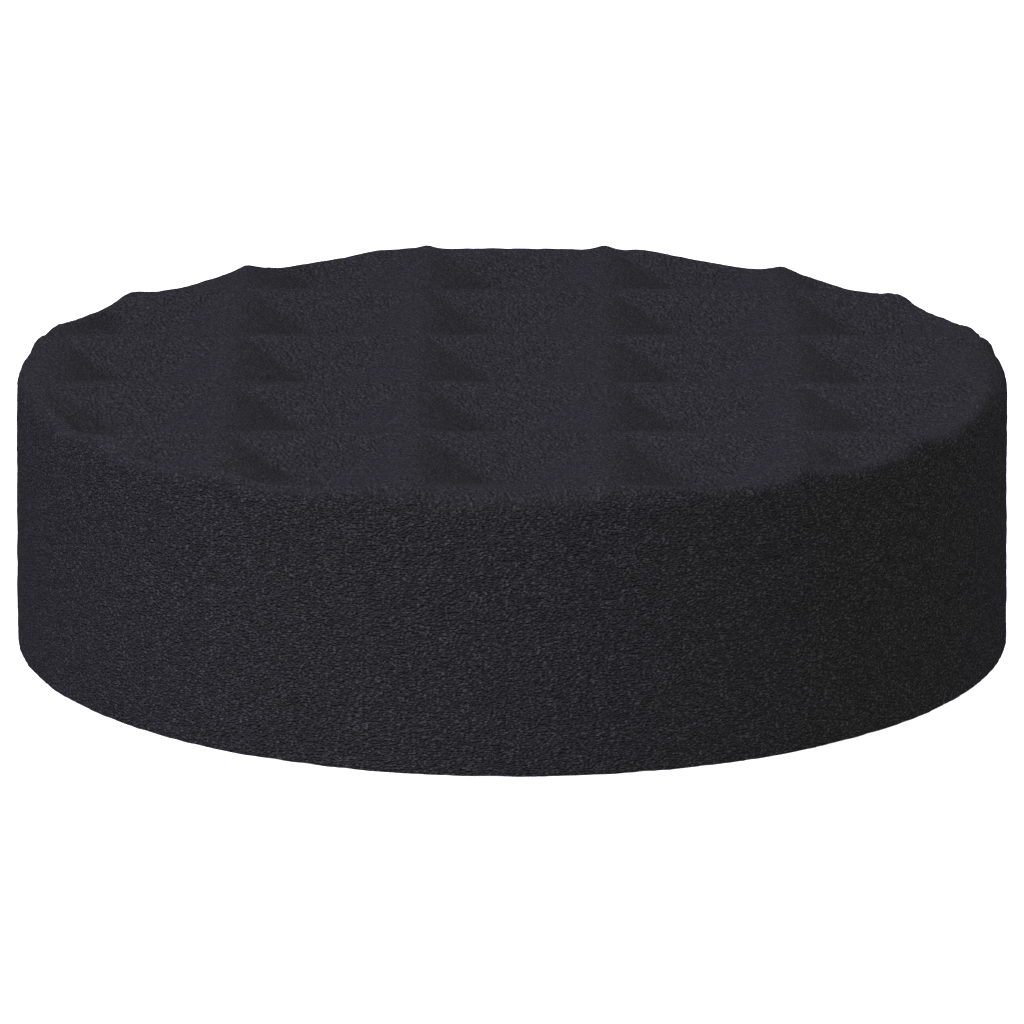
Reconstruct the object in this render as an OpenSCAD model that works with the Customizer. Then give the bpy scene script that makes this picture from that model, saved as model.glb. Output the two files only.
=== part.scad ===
// Screw-on polishing pad for a rotary polisher.
// A thick disc of open-cell foam with a waffle face is glued to a ribbed moulded plate,
// and the plate's hub holds a steel insert that screws onto the polisher's spindle.
// Millimetres. The origin is the centre of the foam's back face, and +Z points
// out of the waffle face, along the spindle axis.

/* [Foam pad] */
// Diameter of the foam
foam_d = 178; // [165:1:200]
// Height of the foam, from its back to the tops of the ridges
foam_h = 50.8; // [40:0.1:60]
// Width of the band round the face where it slopes away towards the edge
shoulder_w = 9; // [4:0.5:14]
// Slope of that band, in degrees
shoulder_slope = 8; // [2:1:16]
// Radius of the edge where that band meets the side
edge_r = 1.6; // [0.6:0.1:3]

/* [Waffle face] */
// Distance from one ridge to the next, the same both ways
ridge_pitch = 33.5; // [28:0.1:38]
// Width of a ridge's flat top
ridge_w = 2; // [0.8:0.2:3]
// Depth of a whole pit, below the ridge tops
pit_depth = 7.3; // [4:0.1:12]
// Depth of the pits that the pad's edge cuts through
edge_pit_depth = 5.5; // [3:0.1:8]

/* [Backing plate] */
// Diameter of the plate
plate_d = 150; // [120:1:155]
// Thickness of the plate over its ribs
plate_t = 5; // [4:0.5:8]
// Thickness of the web between the ribs
web_t = 3; // [2:0.5:3.5]
// How far the plate's back lies below the foam's back face
plate_inset = 1; // [0.5:0.5:3]
// Thickness of the lip, the ring rib and the radial ribs
rib_w = 2.4; // [1.6:0.2:4]
// Number of radial ribs
rib_count = 12; // [6:1:16]
// Diameter of the ring rib, along the middle of its wall
ring_rib_d = 92; // [70:2:110]

/* [Hub] */
// Outer diameter of the hub
hub_d = 36; // [32:1:44]
// Height of the hub above the plate's back
hub_h = 23; // [21:1:26]
// Depth of the relief behind the insert, for the spindle's tip
relief_depth = 4.5; // [3:0.5:5]
// Diameter of the relief
relief_d = 15.5; // [15:0.5:18]

/* [Thread insert] */
// Hexagon of the insert, across its flats
hex_w = 22; // [20:1:24]
// Length of the insert
insert_l = 16; // [14:0.5:17]
// Major diameter of the metric thread
thread_d = 14; // [10:2:14]
// Pitch of the thread
thread_pitch = 2; // [1.5:0.25:2]
// Width of the groove that locks the insert in the hub
lock_groove_w = 3; // [2:0.5:4]
// Diameter at the bottom of that groove
lock_groove_d = 19; // [18.5:0.5:20]

/* [Adhesive] */
// Thickness of the glue between plate and foam
glue_t = 0.5; // [0.3:0.1:1]
// Gap between the plastic and the foam round it
foam_gap = 0.5; // [0.3:0.1:1]

/* [Hidden] */
$fn = 128;

cut_over = 1;
plate_top = plate_inset + plate_t;
recess_depth = plate_top + glue_t;
recess_d = plate_d + 2 * foam_gap;
hub_top = plate_inset + hub_h;
pocket_d = hub_d + 2 * foam_gap;
pocket_depth = hub_top + foam_gap;

// Whole cells from the centre cell to the edge
cells_out = ceil(foam_d / 2 / ridge_pitch);
pit_w = ridge_pitch - ridge_w;

hex_r = hex_w / 2 / cos(30);
// A metric thread's minor diameter is this many pitches less than its major one
minor_per_pitch = 1.0825;
thread_minor_d = thread_d - minor_per_pitch * thread_pitch;
// The countersink's mouth is a little wider than the thread's major diameter
mouth_over = 0.2;
thread_chamfer = (thread_d - thread_minor_d) / 2 + mouth_over;
rib_h = plate_t - web_t;
rib_in = hub_d / 2 - cut_over;
rib_out = plate_d / 2 - rib_w / 2;

// Distance from the axis to the nearest corner, and to the middle, of cell (i, j)
function cell_near(i, j) = ridge_pitch * norm([max(abs(i) - 0.5, 0), max(abs(j) - 0.5, 0)]);
function cell_middle(i, j) = ridge_pitch * norm([i, j]);

// V groove along Y with its bottom depth below z = 0, and its walls carried on above z = 0
module pit_groove(depth) {
    mouth_w = pit_w * (depth + cut_over) / depth;
    rotate([90, 0, 0])
        linear_extrude(height = mouth_w, center = true)
            polygon([[-mouth_w / 2, cut_over], [mouth_w / 2, cut_over], [0, -depth]]);
}

// Four-sided pit, point down: what two crossed grooves share
module pit(depth) {
    intersection() {
        pit_groove(depth);
        rotate([0, 0, 90])
            pit_groove(depth);
    }
}

// Pits of the waffle, one in each cell of a square grid with a cell at its centre
module waffle_pits() {
    for (i = [-cells_out : cells_out], j = [-cells_out : cells_out])
        if (cell_near(i, j) < foam_d / 2 - edge_r)
            translate([i * ridge_pitch, j * ridge_pitch, foam_h])
                pit(cell_middle(i, j) < foam_d / 2 ? pit_depth : edge_pit_depth);
}

// Disc whose top slopes away towards a small round edge
module foam_blank() {
    face_r = foam_d / 2 - shoulder_w;
    edge_x = foam_d / 2 - edge_r;
    // The sloping band meets the round edge here
    meet_x = edge_x + edge_r * sin(shoulder_slope);
    meet_z = foam_h - (meet_x - face_r) * tan(shoulder_slope);
    edge_z = meet_z - edge_r * cos(shoulder_slope);
    rotate_extrude() {
        square([foam_d / 2, edge_z]);
        polygon([[0, 0], [meet_x, 0], [meet_x, meet_z], [face_r, foam_h], [0, foam_h]]);
        translate([edge_x, edge_z])
            circle(r = edge_r);
    }
}

module foam_pad() {
    color([0.035, 0.034, 0.042])
        difference() {
            foam_blank();
            waffle_pits();
            translate([0, 0, -cut_over])
                cylinder(d = recess_d, h = recess_depth + cut_over);
            translate([0, 0, -cut_over])
                cylinder(d = pocket_d, h = pocket_depth + cut_over);
        }
}

module glue_film() {
    color([0.75, 0.68, 0.48])
        translate([0, 0, plate_top])
            difference() {
                cylinder(d = plate_d, h = glue_t);
                translate([0, 0, -cut_over])
                    cylinder(d = pocket_d, h = glue_t + 2 * cut_over);
            }
}

// Ring with square edges, standing on z = 0
module ring(outer_d, inner_d, height) {
    difference() {
        cylinder(d = outer_d, h = height);
        translate([0, 0, -cut_over])
            cylinder(d = inner_d, h = height + 2 * cut_over);
    }
}

module plate_ribs() {
    ring(plate_d, plate_d - 2 * rib_w, rib_h);
    ring(ring_rib_d + rib_w, ring_rib_d - rib_w, rib_h);
    for (k = [0 : rib_count - 1])
        rotate([0, 0, k * 360 / rib_count])
            translate([rib_in, -rib_w / 2, 0])
                cube([rib_out - rib_in, rib_w, rib_h]);
}

// Outer shape of the insert: a hexagon with a round groove halfway along it
module insert_blank() {
    groove_z = (insert_l - lock_groove_w) / 2;
    cylinder(r = hex_r, h = groove_z, $fn = 6);
    cylinder(d = lock_groove_d, h = insert_l);
    translate([0, 0, groove_z + lock_groove_w])
        cylinder(r = hex_r, h = groove_z, $fn = 6);
}

module backing_plate() {
    color([0.055, 0.055, 0.06])
        translate([0, 0, plate_inset])
            difference() {
                union() {
                    translate([0, 0, rib_h])
                        cylinder(d = plate_d, h = web_t);
                    plate_ribs();
                    cylinder(d = hub_d, h = hub_h);
                }
                insert_blank();
                translate([0, 0, insert_l - cut_over])
                    cylinder(d = relief_d, h = relief_depth + cut_over);
            }
}

// Countersink from the thread's minor diameter, opening downwards at z = 0
module thread_countersink() {
    mouth_r = thread_minor_d / 2 + thread_chamfer;
    translate([0, 0, -cut_over])
        cylinder(r1 = mouth_r + cut_over, r2 = thread_minor_d / 2, h = thread_chamfer + cut_over);
}

module thread_insert() {
    color([0.72, 0.72, 0.70])
        translate([0, 0, plate_inset])
            difference() {
                insert_blank();
                translate([0, 0, -cut_over])
                    cylinder(d = thread_minor_d, h = insert_l + 2 * cut_over);
                thread_countersink();
                translate([0, 0, insert_l])
                    mirror([0, 0, 1])
                        thread_countersink();
            }
}

foam_pad();
glue_film();
backing_plate();
thread_insert();
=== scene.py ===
"""A screw-on foam polishing pad standing on its back, waffle face up."""

import math

import bpy
import numpy as np
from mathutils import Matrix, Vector, geometry, noise


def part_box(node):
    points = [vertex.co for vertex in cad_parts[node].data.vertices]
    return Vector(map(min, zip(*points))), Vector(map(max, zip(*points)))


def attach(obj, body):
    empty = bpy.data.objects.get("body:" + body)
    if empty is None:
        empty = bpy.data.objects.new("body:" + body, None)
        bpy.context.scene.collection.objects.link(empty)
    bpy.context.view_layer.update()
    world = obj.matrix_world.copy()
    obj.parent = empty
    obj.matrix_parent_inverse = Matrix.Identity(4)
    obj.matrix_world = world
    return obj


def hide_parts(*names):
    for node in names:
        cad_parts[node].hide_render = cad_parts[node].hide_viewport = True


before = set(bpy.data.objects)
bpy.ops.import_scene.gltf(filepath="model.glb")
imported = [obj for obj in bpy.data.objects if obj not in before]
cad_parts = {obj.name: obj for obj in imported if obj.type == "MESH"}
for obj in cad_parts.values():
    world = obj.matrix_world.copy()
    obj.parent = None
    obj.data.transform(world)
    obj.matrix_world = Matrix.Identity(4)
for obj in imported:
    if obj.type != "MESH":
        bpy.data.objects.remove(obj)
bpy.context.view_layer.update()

MM = 0.001

# ---------------------------------------------------------------- sizes, from the frame

foam_low, foam_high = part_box("foam_pad")
glue_low, glue_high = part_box("glue_film")
plate_low, plate_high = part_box("backing_plate")
insert_low, insert_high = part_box("thread_insert")

FOAM_R = max(foam_high.x, foam_high.y)
FOAM_H = foam_high.z

# ---------------------------------------------------------------- sizes of the plate, insert and glue

HUB_R = 18 * MM
RELIEF_R = 7.75 * MM
RELIEF_DEPTH = 4.5 * MM
WEB_T = 3 * MM
RIB_W = 2.4 * MM
RING_RIB_R = 46 * MM
RIB_COUNT = 12
HEX_ACROSS = 22 * MM
THREAD_R = 7 * MM
THREAD_PITCH = 2 * MM
THREAD_DEPTH = 0.54127 * THREAD_PITCH
FOAM_GAP = 0.5 * MM

# Round edge of the plate's lip, and the bevels of the hub's hexagonal hole and of the insert
LIP_EDGE_R = 0.5 * MM
HOLE_BEVEL = 0.1 * MM
INSERT_BEVEL = 0.25 * MM
# The thread's countersinks open this much wider than the thread
COUNTERSINK_OVER = 0.2 * MM
# Radius of the rings on which the ejector pins' marks lie, and size of a mark
INNER_MARKS_R = 33 * MM
OUTER_MARKS_R = 61 * MM
MARK_R = 2.5 * MM
MARK_DEPTH = 0.12 * MM
# The glue's bead hangs this far below the web's top, with long waves and short ripples in its edge
BEAD_DROP = 2.6 * MM
BEAD_WAVE = 1.3 * MM
BEAD_RIPPLE = 0.6 * MM
GLUE_CLEAR = 0.02 * MM

# Numbers of points round the parts, and rows of faces along them
PLATE_AROUND = 480
HUB_AROUND = 96
BAY_AROUND = 160
MARK_AROUND = 32
LIP_EDGE_ROWS = 5
PLATE_TOP_ROWS = 8
HUB_ROWS = 5
THREAD_ROWS_PER_TURN = 20
# More passes round the corners of the bays more
CORNER_PASSES = 8
# A moulded edge's profile, from the flat it leaves to the flat it reaches: share across, share down
ROUND_OVER = ((0, 0), (0.15, 0.02), (0.4, 0.12), (0.62, 0.35), (0.75, 0.7), (0.85, 0.9), (1, 1))
EDGE_W = 0.7 * MM
# Flat strip beside each rounded edge, which keeps the flats' shading flat
MARGIN = 0.2 * MM

# ---------------------------------------------------------------- camera

SENSOR = 36.0
LENS = 316.9
CAMERA_DISTANCE = 18.25 * FOAM_R
CAMERA_ELEVATION = math.radians(15.63)
# The waffle's rows are turned by this much from square on to the camera
CAMERA_TURN = math.radians(0.43)
# The pad sits above the middle of the picture, so the camera aims this far below the pad's middle
AIM_DROP = 3.15 * MM


def direction(turn, height):
    """Direction from the pad, turned from its front and raised above the floor."""
    return Vector((math.sin(turn) * math.cos(height), -math.cos(turn) * math.cos(height), math.sin(height)))


def make_camera():
    aim = Vector((0, 0, FOAM_H / 2 - AIM_DROP))
    back = direction(CAMERA_TURN, CAMERA_ELEVATION)
    data = bpy.data.cameras.new("camera")
    data.sensor_width = SENSOR
    data.lens = LENS
    camera = bpy.data.objects.new("camera", data)
    bpy.context.scene.collection.objects.link(camera)
    camera.location = aim + back * CAMERA_DISTANCE
    camera.rotation_euler = (-back).to_track_quat("-Z", "Y").to_euler()
    bpy.context.scene.camera = camera


make_camera()

# ---------------------------------------------------------------- mesh building

# Edges that bend by more than this are shaded sharp
SHARP_ANGLE = math.radians(35)
LEVEL_WITHIN = 1e-6
SAME_POINT_WITHIN = 1e-9
# Keeps a division off zero
TINY = 1e-6


class Shell:
    """The points and faces of one closed mesh, laid down ring by ring."""

    def __init__(self):
        self.points = []
        self.faces = []

    def add(self, points):
        first = len(self.points)
        self.points.extend(points)
        return list(range(first, len(self.points)))

    def bridge(self, near, far):
        """Faces between two rings. Where one ring has fewer points, its count divides the other's."""
        if len(near) >= len(far):
            ratio = len(near) // len(far)
            for k, corner in enumerate(far):
                fan = [near[(k * ratio + i) % len(near)] for i in range(ratio + 1)]
                following = far[(k + 1) % len(far)]
                middle = ratio // 2
                for i in range(ratio):
                    if i == middle:
                        self.faces.append((fan[i], corner, following, fan[i + 1]))
                    else:
                        self.faces.append((fan[i], corner if i < middle else following, fan[i + 1]))
        else:
            ratio = len(far) // len(near)
            for k, corner in enumerate(near):
                fan = [far[(k * ratio + i) % len(far)] for i in range(ratio + 1)]
                following = near[(k + 1) % len(near)]
                middle = ratio // 2
                for i in range(ratio):
                    if i == middle:
                        self.faces.append((corner, fan[i], fan[i + 1], following))
                    else:
                        self.faces.append((corner if i < middle else following, fan[i], fan[i + 1]))

    def cap(self, ring, point):
        """Closes a ring with a fan to one point."""
        middle = self.add([point])[0]
        for k, corner in enumerate(ring):
            self.faces.append((corner, middle, ring[(k + 1) % len(ring)]))

    def mesh(self, name):
        mesh = bpy.data.meshes.new(name)
        mesh.from_pydata([tuple(p) for p in self.points], [], self.faces)
        mesh.validate()
        mesh.update()
        return mesh


def piece(name, mesh, material):
    obj = bpy.data.objects.new(name, mesh)
    bpy.context.scene.collection.objects.link(obj)
    mesh.materials.append(material)
    mesh.shade_smooth()
    return obj


def shade_level_faces_flat(mesh):
    """Keeps the long thin triangles of a flat from bending its shading."""
    z = np.array([v.co.z for v in mesh.vertices])
    for face in mesh.polygons:
        if np.ptp(z[list(face.vertices)]) < LEVEL_WITHIN:
            face.use_smooth = False


def circle(radius, z, count):
    """Points round the Z axis; radius and z may be numbers or arrays of count values."""
    turn = np.arange(count) * 2 * math.pi / count
    ones = np.ones(count)
    return np.stack([radius * np.cos(turn), radius * np.sin(turn), z * ones], axis=1).tolist()


def counterclockwise(a, b, c):
    """Whether three points of the plane turn left, seen from above."""
    return (b[0] - a[0]) * (c[1] - a[1]) > (b[1] - a[1]) * (c[0] - a[0])


def steps_to(start, end, count):
    """Evenly spaced values that follow start, the last of them end."""
    return np.linspace(start, end, count + 1)[1:]


def smoothstep(low, high, value):
    """0 up to low, 1 from high, and a smooth rise between them."""
    t = np.clip((value - low) / (high - low), 0, 1)
    return t * t * (3 - 2 * t)


# ---------------------------------------------------------------- foam shape

RIDGE_PITCH = 33.5 * MM
PIT_DEPTH = 7.3 * MM
# How gradually the slopes set in on both sides of a ridge line
CREST_SOFTNESS = 2.5 * MM
# The higher this is, the sharper the valleys where two walls of a pit meet
VALLEY_SHARPNESS = 9
# The pits are cut less deep near the pad's edge: where that starts, and how much is left at the edge
SHALLOW_FROM = 0.93 * FOAM_R
SHALLOW_SHARE = 0.1
# The ridges end at the rim as narrow raised lines, this high and this wide to each side
RIM_RIDGE_H = 0.9 * MM
RIM_RIDGE_W = 2.0 * MM
# The face falls away a little towards the edge, and ends in a small round corner
SHOULDER_W = 9 * MM
SHOULDER_DROP = 1.55 * MM
EDGE_R = 2.6 * MM
BACK_EDGE_R = 0.3 * MM
# The foam's radius is this much bigger at its back than at its face
SIDE_DRAFT = 0.45 * MM
FACE_R = FOAM_R - SIDE_DRAFT / 2
BACK_R = FOAM_R + SIDE_DRAFT / 2

# Bevel at the mouth of the recess in the back
RECESS_BEVEL = 0.4 * MM

# Numbers of points round the foam outside and inside its recess, and its rows of faces
FOAM_AROUND = 640
RECESS_AROUND = FOAM_AROUND // 5
FACE_STEP = RIDGE_PITCH / 38
SIDE_STEP = 0.9 * MM
BACK_STEP = 1.5 * MM
EDGE_ROWS = 5
BACK_EDGE_ROWS = 3
BACK_ROWS = 7
RECESS_WALL_ROWS = 6
RECESS_ROWS = 21
POCKET_WALL_ROWS = 7
POCKET_ROWS = 6
# The grid of the face stops this far inside the soft edge
GRID_CLEAR = 0.6 * FACE_STEP


def beside_ridge(value):
    """How far a place lies from the nearest ridge line."""
    return (0.5 - np.abs(value / RIDGE_PITCH - np.round(value / RIDGE_PITCH))) * RIDGE_PITCH


def ridge_slope(value):
    """Depth beside a ridge line, 0 on the line and 1 halfway to the next."""
    beside = beside_ridge(value)
    halfway = math.hypot(RIDGE_PITCH / 2, CREST_SOFTNESS) - CREST_SOFTNESS
    return (np.hypot(beside, CREST_SOFTNESS) - CREST_SOFTNESS) / halfway


def rim_ridge(value):
    """Shape of a raised ridge end, 1 on the ridge line and 0 well beside it."""
    return np.exp(-((beside_ridge(value) / RIM_RIDGE_W) ** 2))


def face_drop(x, y):
    """How far the waffle face lies below its ridge tops."""
    across = ridge_slope(x)
    along = ridge_slope(y)
    power = VALLEY_SHARPNESS
    both = (across**power + along**power) ** (1 / power)
    lowest = across * along / np.maximum(both, TINY)
    radius = np.hypot(x, y)
    near_rim = smoothstep(SHALLOW_FROM, FOAM_R, radius)
    share = 1 - (1 - SHALLOW_SHARE) * near_rim
    past = np.clip((radius - FOAM_R + SHOULDER_W) / SHOULDER_W, 0, 1)
    raised = rim_ridge(x) + rim_ridge(y)
    return lowest * PIT_DEPTH * share + SHOULDER_DROP * past - RIM_RIDGE_H * raised * near_rim


def foam_face(shell):
    """The waffle face inside the soft edge, triangulated over a square grid in line with the ridges."""
    rim_r = FACE_R - EDGE_R
    rim = [Vector(p[:2]) for p in circle(rim_r, 0, FOAM_AROUND)]
    reach = math.ceil(rim_r / FACE_STEP)
    steps = np.arange(-reach, reach + 1) * FACE_STEP
    grid_x, grid_y = np.meshgrid(steps, steps)
    kept = np.hypot(grid_x, grid_y) < rim_r - GRID_CLEAR
    places = rim + [Vector(p) for p in zip(grid_x[kept], grid_y[kept])]
    edges = [(k, (k + 1) % FOAM_AROUND) for k in range(FOAM_AROUND)]
    corners, _, faces, came_from, _, _ = geometry.delaunay_2d_cdt(places, edges, [], 0, SAME_POINT_WITHIN)
    xy = np.array([tuple(c) for c in corners])
    z = FOAM_H - face_drop(xy[:, 0], xy[:, 1])
    shell.add(np.column_stack([xy, z]).tolist())
    for a, b, c in faces:
        shell.faces.append((a, b, c) if counterclockwise(xy[a], xy[b], xy[c]) else (a, c, b))
    index_of = {source: k for k, sources in enumerate(came_from) for source in sources}
    return [index_of[k] for k in range(FOAM_AROUND)]


def foam_edge_and_side(shell, ring):
    """Goes on from the face over the soft edge and down the side to the back."""
    turn = np.arange(FOAM_AROUND) * 2 * math.pi / FOAM_AROUND
    for bend in steps_to(0, math.pi / 2, EDGE_ROWS):
        radius = FACE_R - EDGE_R + EDGE_R * math.sin(bend)
        drop = face_drop(radius * np.cos(turn), radius * np.sin(turn))
        z = FOAM_H - drop - EDGE_R * (1 - math.cos(bend))
        following = shell.add(circle(radius, z, FOAM_AROUND))
        shell.bridge(ring, following)
        ring = following
    top_z = z
    side_rows = round((FOAM_H - EDGE_R) / SIDE_STEP)
    for share in steps_to(0, 1, side_rows):
        radius = FACE_R * (1 - share) + BACK_R * share
        following = shell.add(circle(radius, top_z * (1 - share) + BACK_EDGE_R * share, FOAM_AROUND))
        shell.bridge(ring, following)
        ring = following
    for bend in steps_to(0, math.pi / 2, BACK_EDGE_ROWS):
        radius = BACK_R - BACK_EDGE_R * (1 - math.cos(bend))
        following = shell.add(circle(radius, BACK_EDGE_R * (1 - math.sin(bend)), FOAM_AROUND))
        shell.bridge(ring, following)
        ring = following
    return ring


def foam_back(shell, ring):
    """The flat back face, then up into the recess and the hub's pocket."""
    recess_r = glue_high.x + FOAM_GAP
    recess_z = glue_high.z
    pocket_z = plate_high.z + FOAM_GAP
    hub_r = HUB_R + FOAM_GAP
    outline = [(BACK_R - BACK_EDGE_R - BACK_STEP * k, 0) for k in range(1, BACK_ROWS + 1)]
    outline += [(recess_r + RECESS_BEVEL, 0), (recess_r, RECESS_BEVEL)]
    outline += [(recess_r, z) for z in steps_to(RECESS_BEVEL, recess_z, RECESS_WALL_ROWS)]
    for radius, z in outline:
        following = shell.add(circle(radius, z, FOAM_AROUND))
        shell.bridge(ring, following)
        ring = following
    inner = [(r, recess_z) for r in steps_to(recess_r, hub_r, RECESS_ROWS)]
    inner += [(hub_r, z) for z in steps_to(recess_z, pocket_z, POCKET_WALL_ROWS)]
    inner += [(r, pocket_z) for r in steps_to(hub_r, 0, POCKET_ROWS)[:-1]]
    for radius, z in inner:
        following = shell.add(circle(radius, z, RECESS_AROUND))
        shell.bridge(ring, following)
        ring = following
    shell.cap(ring, (0, 0, pocket_z))


# Each layer of roughness: size of its lumps, and how far they stand in or out, before the cell-scale bump
FOAM_ROUGHNESS = (
    (24 * MM, 0.10 * MM),
    (8 * MM, 0.10 * MM),
    (3.4 * MM, 0.12 * MM),
    (1.5 * MM, 0.10 * MM),
)
# How far each layer's noise lies from the last one's, in lumps
LAYER_SHIFT = (7.3, 3.1, 5.7)


def roughen(mesh, layers, keep_above):
    """Moves each point along its normal by layered noise, never below keep_above."""
    normals = np.zeros(len(mesh.vertices) * 3, np.float32)
    mesh.vertex_normals.foreach_get("vector", normals)
    normals = normals.reshape(-1, 3)
    points = np.array([v.co for v in mesh.vertices])
    shift = np.zeros(len(points))
    for k, (size, height) in enumerate(layers):
        offset = Vector([k * part for part in LAYER_SHIFT])
        shift += height * np.array([noise.noise(Vector(p) / size + offset) for p in points])
    moved = points + normals * shift[:, None]
    moved[:, 2] = np.maximum(moved[:, 2], keep_above)
    mesh.vertices.foreach_set("co", moved.astype(np.float32).ravel())
    mesh.update()


def make_foam(material):
    shell = Shell()
    ring = foam_face(shell)
    ring = foam_edge_and_side(shell, ring)
    foam_back(shell, ring)
    mesh = shell.mesh("foam")
    roughen(mesh, FOAM_ROUGHNESS, 0.0)
    obj = piece("foam", mesh, material)
    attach(obj, "root")
    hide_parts("foam_pad")


# ---------------------------------------------------------------- plate, insert and glue shapes

def inside(points, loop):
    """Which of the points lie within a closed loop, by the even-odd rule."""
    x, y = points[:, :1], points[:, 1:2]
    near, far = loop, np.roll(loop, -1, axis=0)
    spans = (near[:, 1] > y) != (far[:, 1] > y)
    rise = far[:, 1] - near[:, 1]
    rise = np.where(rise == 0, 1, rise)
    cross = near[:, 0] + (y - near[:, 1]) / rise * (far[:, 0] - near[:, 0])
    return (np.sum(spans & (x < cross), axis=1) % 2) == 1


def flat(shell, outer, holes, facing_down):
    """Fills the flat between an outer ring and any rings inside it."""
    rings = [outer] + holes
    index = [k for ring in rings for k in ring]
    points = np.array([shell.points[k] for k in index])
    edges, loops, first = [], [], 0
    for ring in rings:
        count = len(ring)
        edges += [(first + k, first + (k + 1) % count) for k in range(count)]
        loops.append(points[first:first + count, :2])
        first += count
    found = geometry.delaunay_2d_cdt([Vector(p[:2]) for p in points], edges, [], 0, SAME_POINT_WITHIN)
    corners = np.array([tuple(c) for c in found[0]])
    source = [index[came[0]] for came in found[3]]
    triangles = np.array(found[2])
    middles = corners[triangles].mean(axis=1)
    keep = inside(middles, loops[0])
    for loop in loops[1:]:
        keep &= ~inside(middles, loop)
    for a, b, c in triangles[keep]:
        upward = counterclockwise(corners[a], corners[b], corners[c])
        a, b, c = source[a], source[b], source[c]
        shell.faces.append((a, c, b) if upward == facing_down else (a, b, c))


def bay_outline(turn, inner_r, outer_r):
    """Outline of the bay between two ribs and two rings, as evenly spaced points with rounded corners."""
    wall = RIB_W / 2
    sector = 2 * math.pi / RIB_COUNT
    out = np.linspace(inner_r, outer_r, BAY_AROUND)
    lean = np.arcsin(wall / out)
    across = np.linspace(0, 1, BAY_AROUND)
    radius = np.concatenate([out, np.full(BAY_AROUND, outer_r), out[::-1], np.full(BAY_AROUND, inner_r)])
    angle = np.concatenate([
        lean,
        lean[-1] + across * (sector - 2 * lean[-1]),
        sector - lean[::-1],
        sector - lean[0] - across * (sector - 2 * lean[0]),
    ]) + turn
    corners = np.column_stack([radius * np.cos(angle), radius * np.sin(angle)])
    steps = np.hypot(*(np.roll(corners, -1, axis=0) - corners).T)
    along = np.concatenate([[0], np.cumsum(steps)])
    closed = np.vstack([corners, corners[:1]])
    wanted = np.arange(BAY_AROUND) / BAY_AROUND * along[-1]
    loop = np.column_stack([np.interp(wanted, along, closed[:, axis]) for axis in (0, 1)])
    for _ in range(CORNER_PASSES):
        loop = (np.roll(loop, 1, axis=0) + 2 * loop + np.roll(loop, -1, axis=0)) / 4
    return loop


def moved_in(loop, distance):
    """A counterclockwise outline with each point moved inwards."""
    along = np.roll(loop, -1, axis=0) - np.roll(loop, 1, axis=0)
    inward = np.column_stack([-along[:, 1], along[:, 0]])
    return loop + inward * distance / np.hypot(*along.T)[:, None]


def level(loop, z):
    return np.column_stack([loop, np.full(len(loop), z)]).tolist()


def rib_bay(shell, turn, inner_r, outer_r, low_z, high_z, mark_r):
    """One bay: down its rounded walls to its floor, which has an ejector pin's mark. Returns its mouth."""
    outline = bay_outline(turn, inner_r, outer_r)
    mouth = ring = shell.add(level(moved_in(outline, -MARGIN), low_z))
    for across, down in ROUND_OVER:
        following = shell.add(level(moved_in(outline, across * EDGE_W), low_z + down * (high_z - low_z)))
        shell.bridge(ring, following)
        ring = following
    floor = shell.add(level(moved_in(outline, EDGE_W + MARGIN), high_z))
    shell.bridge(ring, floor)
    middle = turn + math.pi / RIB_COUNT
    centre = (mark_r * math.cos(middle), mark_r * math.sin(middle))
    mark = np.array(circle(1, 0, MARK_AROUND))[:, :2]
    round_mark = shell.add(level(mark * (MARK_R + MARGIN) + centre, high_z))
    flat(shell, floor, [round_mark], True)
    edge = shell.add(level(mark * MARK_R + centre, high_z))
    shell.bridge(round_mark, edge)
    deep = shell.add(level(mark * (MARK_R - MARK_DEPTH) + centre, high_z + MARK_DEPTH))
    shell.bridge(edge, deep)
    bottom = shell.add(level(mark * (MARK_R - MARK_DEPTH - MARGIN) + centre, high_z + MARK_DEPTH))
    shell.bridge(deep, bottom)
    shell.cap(bottom, (*centre, high_z + MARK_DEPTH))
    return mouth


def hexagon(across_flats, z, count):
    """Points round a hexagon with a corner on the X axis."""
    turn = np.arange(count) * 2 * math.pi / count
    radius = across_flats / 2 / np.cos(np.mod(turn, math.pi / 3) - math.pi / 6)
    return circle(radius, z, count)


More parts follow.
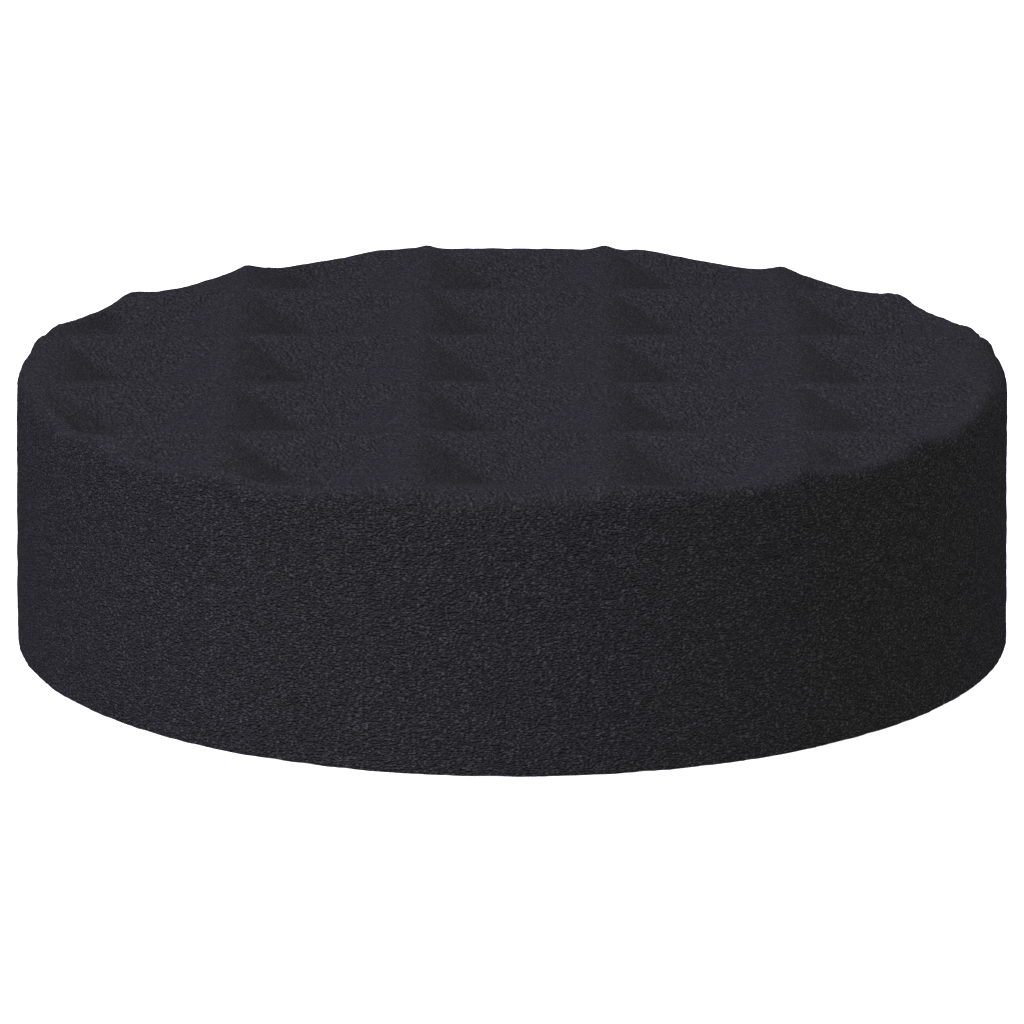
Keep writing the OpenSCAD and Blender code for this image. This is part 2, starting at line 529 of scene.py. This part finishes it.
def make_plate(material):
    """The moulded plate: ribbed underneath, with a hub that holds the insert."""
    shell = Shell()
    low_z = plate_low.z
    rim_r = plate_high.x
    web_top = glue_low.z
    web_low = web_top - WEB_T
    edge_r = rim_r - LIP_EDGE_R
    outer = shell.add(circle(edge_r - MARGIN, low_z, PLATE_AROUND))
    ring_in = RING_RIB_R - RIB_W / 2
    ring_out = RING_RIB_R + RIB_W / 2
    mouths = []
    for k in range(RIB_COUNT):
        turn = k * 2 * math.pi / RIB_COUNT
        mouths.append(rib_bay(shell, turn, HUB_R, ring_in, low_z, web_low, INNER_MARKS_R))
        mouths.append(rib_bay(shell, turn, ring_out, rim_r - RIB_W, low_z, web_low, OUTER_MARKS_R))
    nut_edge = shell.add(hexagon(HEX_ACROSS + 2 * MARGIN, low_z, HUB_AROUND))
    flat(shell, outer, mouths + [nut_edge], True)
    # Out over the lip's rounded edge, up its wall and in over the top to the hub
    ring = outer
    profile = [(edge_r, low_z)]
    for bend in steps_to(0, math.pi / 2, LIP_EDGE_ROWS):
        profile.append((edge_r + LIP_EDGE_R * math.sin(bend), low_z + LIP_EDGE_R * (1 - math.cos(bend))))
    profile += [(rim_r, web_top - MARGIN), (rim_r - MARGIN, web_top)]
    for radius, z in profile:
        following = shell.add(circle(radius, z, PLATE_AROUND))
        shell.bridge(following, ring)
        ring = following
    hub = [(r, web_top) for r in steps_to(rim_r - MARGIN, HUB_R, PLATE_TOP_ROWS)]
    hub += [(HUB_R, z) for z in steps_to(web_top, plate_high.z, HUB_ROWS)]
    hub += [(RELIEF_R, plate_high.z)]
    for radius, z in hub:
        following = shell.add(circle(radius, z, HUB_AROUND))
        shell.bridge(following, ring)
        ring = following
    shell.cap(ring[::-1], (0, 0, plate_high.z))
    # In over the hexagon's edge and up the hub's bore to the relief behind the insert
    relief_z = insert_high.z
    ring = nut_edge
    inner = [hexagon(HEX_ACROSS, low_z + HOLE_BEVEL, HUB_AROUND), hexagon(HEX_ACROSS, relief_z, HUB_AROUND)]
    inner += [circle(RELIEF_R, relief_z, HUB_AROUND)]
    inner += [circle(RELIEF_R, relief_z + RELIEF_DEPTH, HUB_AROUND)]
    for points in inner:
        following = shell.add(points)
        shell.bridge(ring, following)
        ring = following
    shell.cap(ring, (0, 0, relief_z + RELIEF_DEPTH))
    mesh = shell.mesh("plate_moulding")
    obj = piece("plate_moulding", mesh, material)
    shade_level_faces_flat(mesh)
    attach(obj, "root")
    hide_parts("backing_plate")


def thread_radius(turn, z):
    """Radius of the cut thread: flat crests, flat roots and 60 degree flanks between them."""
    phase = np.mod(z / THREAD_PITCH - turn / (2 * math.pi), 1)
    from_root = np.abs(phase - 0.5)
    root_half, crest_half = 1 / 16, 1 / 8
    share = np.clip((from_root - root_half) / (0.5 - crest_half - root_half), 0, 1)
    return THREAD_R - THREAD_DEPTH * share


def make_insert(material):
    """The hexagonal steel insert, with a helical thread cut through it."""
    shell = Shell()
    low_z, high_z = insert_low.z, insert_high.z
    mouth_r = THREAD_R + COUNTERSINK_OVER
    end_across = HEX_ACROSS - 2 * INSERT_BEVEL
    around = HUB_AROUND * 2
    turn = np.arange(around) * 2 * math.pi / around
    # Up the outside from the lower face's bevelled edge, then down the thread
    rows = [circle(mouth_r, low_z, around), circle(mouth_r + MARGIN, low_z, around)]
    rows += [hexagon(end_across - 2 * MARGIN, low_z, around), hexagon(end_across, low_z, around)]
    rows += [hexagon(HEX_ACROSS, low_z + INSERT_BEVEL, around)]
    rows += [hexagon(HEX_ACROSS, high_z - INSERT_BEVEL, around)]
    rows += [hexagon(end_across, high_z, around), circle(mouth_r, high_z, around)]
    steps = round((high_z - low_z) / THREAD_PITCH * THREAD_ROWS_PER_TURN)
    for z in steps_to(high_z, low_z, steps)[:-1]:
        cone_r = mouth_r - min(high_z - z, z - low_z)
        rows.append(circle(np.maximum(thread_radius(turn, z), cone_r), z, around))
    ring = first = shell.add(rows[0])
    for points in rows[1:]:
        following = shell.add(points)
        shell.bridge(following, ring)
        ring = following
    shell.bridge(first, ring)
    mesh = shell.mesh("threaded_insert")
    obj = piece("threaded_insert", mesh, material)
    mesh.set_sharp_from_angle(angle=SHARP_ANGLE)
    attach(obj, "root")
    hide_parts("thread_insert")


def noise_round(reach, height, count):
    """Noise at points round a circle, livelier the further the circle reaches."""
    places = circle(reach, height, count)
    return np.array([noise.noise(Vector(p)) for p in places])


def make_glue(material):
    """The glue between plate and foam, with an uneven bead squeezed down into the gap round the plate."""
    shell = Shell()
    low_z, high_z = glue_low.z, glue_high.z
    plate_r = plate_high.x
    waves = noise_round(4, 0.5, PLATE_AROUND)
    ripples = noise_round(22, 2.5, PLATE_AROUND)
    bead_z = low_z - BEAD_DROP + BEAD_WAVE * waves + BEAD_RIPPLE * ripples
    hub_r = HUB_R + FOAM_GAP
    wet_in = plate_r + GLUE_CLEAR
    wet_out = plate_r + FOAM_GAP - GLUE_CLEAR
    # The bead's lower edge is rounded: its middle hangs lower than where it wets the plate and the foam
    rows = [(hub_r, low_z), (wet_in, low_z), (wet_in, bead_z + FOAM_GAP / 2)]
    rows += [(plate_r + FOAM_GAP / 2, bead_z), (wet_out, bead_z + 0.4 * FOAM_GAP)]
    rows += [(wet_out, high_z), (hub_r, high_z)]
    ring = first = shell.add(circle(*rows[0], PLATE_AROUND))
    for radius, z in rows[1:]:
        following = shell.add(circle(radius, z, PLATE_AROUND))
        shell.bridge(following, ring)
        ring = following
    shell.bridge(first, ring)
    obj = piece("glue_bead", shell.mesh("glue_bead"), material)
    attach(obj, "root")
    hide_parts("glue_film")


# ---------------------------------------------------------------- materials

CELL_COLOUR = (0.0162, 0.0162, 0.0162)
# Lighter strut ends, partly a painted highlight: bright specks where facets would catch the light
STRUT_AND_GLINT_COLOUR = (0.047, 0.047, 0.047)
CELL_RELIEF = 0.95 * MM
# Average share of the lighter strut ends and painted glints in the foam's grain
STRUT_AND_GLINT_SHARE = 0.15
# How much of the grain's strength is left on faces that look up: painted light, since light falling
# straight on a face shows the foam's grain less than grazing light does
FACE_PAINTED_CONTRAST = 0.5


class Nodes:
    """Short calls for building a material's nodes."""

    def __init__(self, name):
        self.material = bpy.data.materials.new(name)
        self.material.use_nodes = True
        self.tree = self.material.node_tree
        self.shader = self.tree.nodes["Principled BSDF"]

    def add(self, kind, inputs=None, **settings):
        """A new node with its settings made, and its inputs set or linked."""
        node = self.tree.nodes.new(kind)
        for name, value in settings.items():
            setattr(node, name, value)
        for name, value in (inputs or {}).items():
            if isinstance(value, bpy.types.NodeSocket):
                self.tree.links.new(value, node.inputs[name])
            else:
                node.inputs[name].default_value = value
        return node

    def place(self, scale=(1, 1, 1)):
        """Object coordinates, in metres, stretched by scale."""
        where = self.add("ShaderNodeTexCoord").outputs["Object"]
        return self.add("ShaderNodeMapping", {"Vector": where, "Scale": scale}).outputs["Vector"]

    def noise(self, where, scale, detail=2.0, roughness=0.5):
        inputs = {"Vector": where, "Scale": scale, "Detail": detail, "Roughness": roughness}
        return self.add("ShaderNodeTexNoise", inputs).outputs["Fac"]

    def math(self, operation, a, b):
        return self.add("ShaderNodeMath", {0: a, 1: b}, operation=operation).outputs[0]

    def fit(self, value, low, high, to_low=0.0, to_high=1.0):
        """Stretches the range from low to high over another one, and stops at its ends."""
        inputs = {"Value": value, "From Min": low, "From Max": high, "To Min": to_low, "To Max": to_high}
        return self.add("ShaderNodeMapRange", inputs).outputs["Result"]

    def blend(self, share, a, b):
        """Mixes two colours, all a where share is 0 and all b where it is 1."""
        node = self.add("ShaderNodeMix", data_type="RGBA")
        self.tree.links.new(share, node.inputs["Factor"])
        for socket, colour in ((node.inputs[6], a), (node.inputs[7], b)):
            if isinstance(colour, bpy.types.NodeSocket):
                self.tree.links.new(colour, socket)
            else:
                socket.default_value = (*colour, 1)
        return node.outputs[2]

    def bump(self, height, distance):
        """Relief that stands out by distance where height is 1."""
        inputs = {"Height": height, "Distance": distance, "Strength": 1.0}
        return self.add("ShaderNodeBump", inputs).outputs["Normal"]

    def finish(self, **sockets):
        """Sets or links the shader's inputs, and returns the material."""
        for name, value in sockets.items():
            socket = self.shader.inputs[name.replace("_", " ")]
            if isinstance(value, bpy.types.NodeSocket):
                self.tree.links.new(value, socket)
            else:
                socket.default_value = value
        return self.material


def foam_material():
    """Black open-cell foam: rough grain with lighter strut ends, which are partly painted glints. This
    colour grain is softer on the face than on the side, painted to stand in for how the light falls.
    """
    n = Nodes("pad_foam")
    where = n.place(scale=(1, 1, 1.8))
    grain = n.noise(where, 1850.0, detail=0.0)
    # Lighter specks: strut ends, and painted glints where facets would catch the light
    struts_and_glints = n.fit(n.noise(where, 2000.0, detail=0.0), 0.52, 0.82)
    normal_out = n.add("ShaderNodeNewGeometry").outputs["Normal"]
    upward = n.add("ShaderNodeSeparateXYZ", {"Vector": normal_out}).outputs["Z"]
    # Painted light: the colour grain fades on faces that look up, standing in for how the light falls on
    # them
    painted_light_contrast = n.fit(upward, 0.35, 0.75, 1.0, FACE_PAINTED_CONTRAST)
    tone = n.math("MULTIPLY", n.math("SUBTRACT", struts_and_glints, STRUT_AND_GLINT_SHARE), painted_light_contrast)
    tone = n.math("ADD", tone, STRUT_AND_GLINT_SHARE)
    colour = n.blend(tone, CELL_COLOUR, STRUT_AND_GLINT_COLOUR)
    normal = n.bump(grain, CELL_RELIEF)
    return n.finish(Base_Color=colour, Roughness=0.95, Normal=normal, Specular_IOR_Level=0.0)


def plate_material():
    """Black moulded nylon: a fine eroded grain, with faint flow streaks in its gloss."""
    n = Nodes("plate_plastic")
    where = n.place()
    grain = n.noise(where, 2600.0, detail=2.0)
    flow = n.noise(n.place(scale=(1, 3.5, 1)), 45.0, detail=4.0, roughness=0.6)
    dust = n.fit(n.noise(where, 420.0, detail=5.0, roughness=0.7), 0.56, 0.75)
    colour = n.blend(flow, (0.0150, 0.0155, 0.0165), (0.0210, 0.0215, 0.0225))
    colour = n.blend(dust, colour, (0.0480, 0.0470, 0.0450))
    gloss = n.fit(flow, 0.3, 0.7, 0.36, 0.52)
    return n.finish(Base_Color=colour, Roughness=gloss, Normal=n.bump(grain, 0.03 * MM))


def steel_material():
    """Turned and zinc-plated steel: rings left by the lathe, and faint clouds in the plating."""
    n = Nodes("insert_steel")
    where = n.place()
    rings = n.add("ShaderNodeTexWave", {"Vector": where, "Scale": 900.0, "Distortion": 0.6, "Detail": 2.0},
                  wave_type="RINGS", rings_direction="Z").outputs["Fac"]
    clouds = n.noise(where, 260.0, detail=4.0, roughness=0.6)
    colour = n.blend(clouds, (0.38, 0.39, 0.41), (0.52, 0.52, 0.51))
    gloss = n.fit(clouds, 0.3, 0.7, 0.24, 0.42)
    return n.finish(Base_Color=colour, Roughness=gloss, Metallic=1.0, Normal=n.bump(rings, 0.012 * MM))


def glue_material():
    """Cured contact adhesive: amber, glossy and a little cloudy."""
    n = Nodes("glue")
    clouds = n.noise(n.place(), 500.0, detail=4.0)
    colour = n.blend(clouds, (0.36, 0.25, 0.09), (0.62, 0.49, 0.24))
    gloss = n.fit(clouds, 0.3, 0.7, 0.18, 0.34)
    return n.finish(Base_Color=colour, Roughness=gloss, Normal=n.bump(clouds, 0.15 * MM))


# ---------------------------------------------------------------- floor and light

# Name, turn round the pad from the camera's side, height angle, strength on the pad, colour
LIGHTS = (
    ("key softbox", -60, 32, 1.92, (0.72, 0.67, 1.0)),
    ("right fill", 30, 32, 0.64, (0.86, 0.84, 0.95)),
    ("back fill", 150, 32, 0.88, (0.67, 0.61, 0.92)),
)
LIGHT_DISTANCE = 3.0
LIGHT_SIZE = 1.6
SURROUNDINGS = 0.6
FLOOR_GLOW = 0.6
FLOOR_R = 5.0
SWEEP_R = 1.5
SWEEP_BEND = math.radians(75)
SWEEP_ROWS = 15
FLOOR_AROUND = 96


def make_floor():
    """A white table, swept up all round. Its glow hides the shadows, and its light stays off the pad."""
    n = Nodes("floor")
    tone = n.blend(n.noise(n.place(), 3.0), (0.86, 0.86, 0.86), (0.88, 0.88, 0.88))
    glow = {"Emission_Color": (1, 1, 1, 1), "Emission_Strength": FLOOR_GLOW}
    material = n.finish(Base_Color=tone, Roughness=0.9, **glow)
    shell = Shell()
    ring = shell.add(circle(FLOOR_R, 0, FLOOR_AROUND))
    shell.cap(ring[::-1], (0, 0, 0))
    for bend in steps_to(0, SWEEP_BEND, SWEEP_ROWS):
        radius = FLOOR_R + SWEEP_R * math.sin(bend)
        following = shell.add(circle(radius, SWEEP_R * (1 - math.cos(bend)), FLOOR_AROUND))
        shell.bridge(ring, following)
        ring = following
    floor = piece("floor", shell.mesh("floor"), material)
    floor.visible_diffuse = False


def make_light(name, turn, height, strength, colour):
    """A square softbox aimed at the pad; strength is what a white surface facing it would show."""
    data = bpy.data.lights.new(name, "AREA")
    data.energy = strength * (math.pi * LIGHT_DISTANCE) ** 2
    data.size = LIGHT_SIZE
    data.color = colour
    light = bpy.data.objects.new(name, data)
    away = direction(math.radians(turn), math.radians(height))
    light.location = Vector((0, 0, FOAM_H / 2)) + away * LIGHT_DISTANCE
    light.rotation_euler = away.to_track_quat("Z", "Y").to_euler()
    bpy.context.scene.collection.objects.link(light)


def make_world():
    world = bpy.data.worlds.new("studio")
    world.use_nodes = True
    background = world.node_tree.nodes["Background"]
    background.inputs["Color"].default_value = (1, 1, 1, 1)
    background.inputs["Strength"].default_value = SURROUNDINGS
    bpy.context.scene.world = world


make_foam(foam_material())
make_plate(plate_material())
make_insert(steel_material())
make_glue(glue_material())
make_floor()
make_world()
for light in LIGHTS:
    make_light(*light)
bpy.context.scene.view_settings.view_transform = "Standard"
